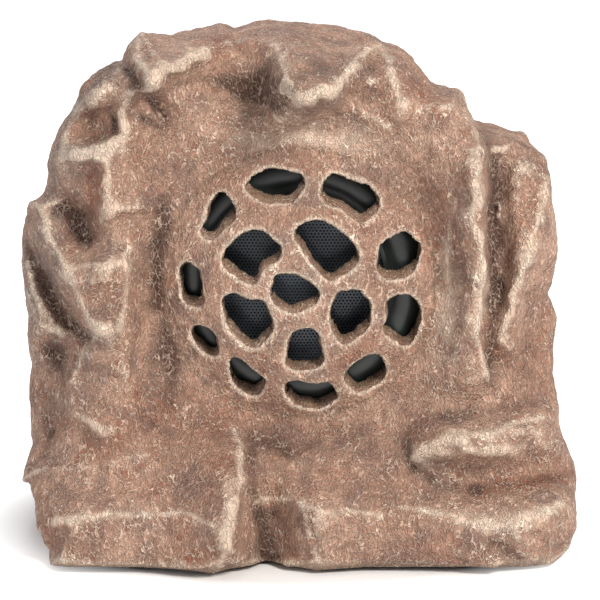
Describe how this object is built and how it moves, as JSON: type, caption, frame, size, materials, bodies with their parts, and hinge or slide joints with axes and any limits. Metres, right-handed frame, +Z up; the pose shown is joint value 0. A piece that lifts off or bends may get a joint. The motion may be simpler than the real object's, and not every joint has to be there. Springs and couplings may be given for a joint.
{
  "type": "rock-shaped bluetooth speaker",
  "caption": "Garden bluetooth speaker in a hollow cast rock, with a pierced stone web over a round grille and a control panel at the back.",
  "frame": {"origin": "on the ground under the middle of the rock's bounding box", "axes": "+X right, +Y to the back, +Z up; the pierced web faces -Y"},
  "size_m": [0.2719, 0.23, 0.25],
  "materials": {
    "cast_stone": "cast resin stone, dry-brushed and washed",
    "black_plastic": "moulded ABS, fine texture",
    "rubber": "moulded rubber",
    "screw_steel": "zinc-plated steel",
    "foam": "closed-cell foam",
    "ring_plastic": "smooth moulded plastic, dark green-black",
    "grille_steel": "perforated steel, black powder coat",
    "basket_steel": "pressed steel, black paint",
    "zinc_steel": "zinc-plated steel",
    "ferrite": "sintered ferrite",
    "spider_cloth": "resin-dipped cloth",
    "copper": "enamelled copper wire on a former",
    "cone_paper": "pressed paper, black",
    "terminal_board": "paper laminate",
    "circuit_board": "solder-masked glass laminate",
    "battery_sleeve": "heat-shrunk sleeve",
    "red_plastic": "moulded ABS",
    "grey_plastic": "moulded ABS",
    "clear_plastic": "clear acrylic",
    "socket_plastic": "moulded nylon",
    "silicone": "moulded silicone"
  },
  "bodies": {
    "rock": {"rock_shell": "cast_stone", "base_plate": "black_plastic", "rubber_feet": "rubber", "base_screws": "screw_steel", "pod_gasket": "foam", "pod_baffle": "black_plastic", "pod_can": "black_plastic", "pod_screws": "screw_steel", "grille_ring": "ring_plastic", "speaker_grille": "grille_steel", "driver_gasket": "foam", "driver_basket": "basket_steel", "driver_screws": "screw_steel", "top_plate": "zinc_steel", "magnet": "ferrite", "back_plate": "zinc_steel", "spider": "spider_cloth", "surround": "rubber", "terminal_strip": "terminal_board", "amplifier_board": "circuit_board", "board_screws": "screw_steel", "bluetooth_module": "zinc_steel", "battery_pack": "battery_sleeve", "battery_strap": "zinc_steel", "strap_screws": "screw_steel", "control_panel": "black_plastic", "panel_gasket": "foam", "panel_screws": "screw_steel", "control_board": "circuit_board", "tact_switches": "black_plastic", "status_light": "clear_plastic", "charging_socket": "socket_plastic", "aux_socket": "socket_plastic"},
    "power_button": {"power_button": "red_plastic"},
    "pair_button": {"pair_button": "grey_plastic"},
    "volume_down_button": {"volume_down_button": "grey_plastic"},
    "volume_up_button": {"volume_up_button": "grey_plastic"},
    "cone_assembly": {"cone": "cone_paper", "dust_cap": "cone_paper", "voice_coil": "copper"},
    "port_cover": {"port_cover": "silicone"}
  },
  "joints": [
    {"name": "power_press", "type": "slide", "parent": "rock", "child": "power_button", "axis": [0, -1, 0], "range_m": [0, 0.0008], "stiffness_N_per_m": 2500, "springref_m": -0.0004},
    {"name": "pair_press", "type": "slide", "parent": "rock", "child": "pair_button", "axis": [0, -1, 0], "range_m": [0, 0.0008], "stiffness_N_per_m": 2500, "springref_m": -0.0004},
    {"name": "volume_down_press", "type": "slide", "parent": "rock", "child": "volume_down_button", "axis": [0, -1, 0], "range_m": [0, 0.0008], "stiffness_N_per_m": 2500, "springref_m": -0.0004},
    {"name": "volume_up_press", "type": "slide", "parent": "rock", "child": "volume_up_button", "axis": [0, -1, 0], "range_m": [0, 0.0008], "stiffness_N_per_m": 2500, "springref_m": -0.0004},
    {"name": "cone_travel", "type": "slide", "parent": "rock", "child": "cone_assembly", "axis": [0, -1, 0], "range_m": [-0.0025, 0.0025], "stiffness_N_per_m": 1800, "deforming": ["surround", "spider"]},
    {"name": "port_cover_hinge", "type": "hinge", "parent": "rock", "child": "port_cover", "pos_m": [0, 0.0986, 0.0405], "axis": [-1, 0, 0], "range_deg": [0, 110]}
  ]
}
